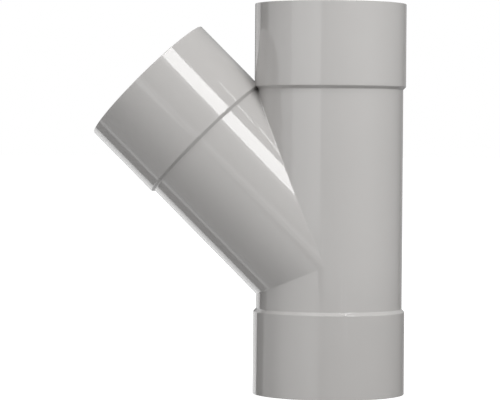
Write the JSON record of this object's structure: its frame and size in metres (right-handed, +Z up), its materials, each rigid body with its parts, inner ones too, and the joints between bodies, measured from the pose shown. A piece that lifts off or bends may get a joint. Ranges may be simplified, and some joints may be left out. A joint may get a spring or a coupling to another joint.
{
  "type": "lateral wye fitting",
  "caption": "Lateral wye drain fitting: a straight run tube with a slanted branch, each end widened into a plain solvent-weld socket with an inner stop ledge.",
  "frame": {"origin": "centre of the lower socket's mouth, on the run's axis", "axes": "+Z up the run towards the upper socket; the branch leans up and towards -X in the plane Y = 0"},
  "size_m": [0.2405, 0.1164, 0.3],
  "materials": {
    "grey_plastic": "smooth moulded light grey PVC-U with a soft gloss"
  },
  "bodies": {
    "root": {"wye_body": "grey_plastic"}
  },
  "joints": []
}
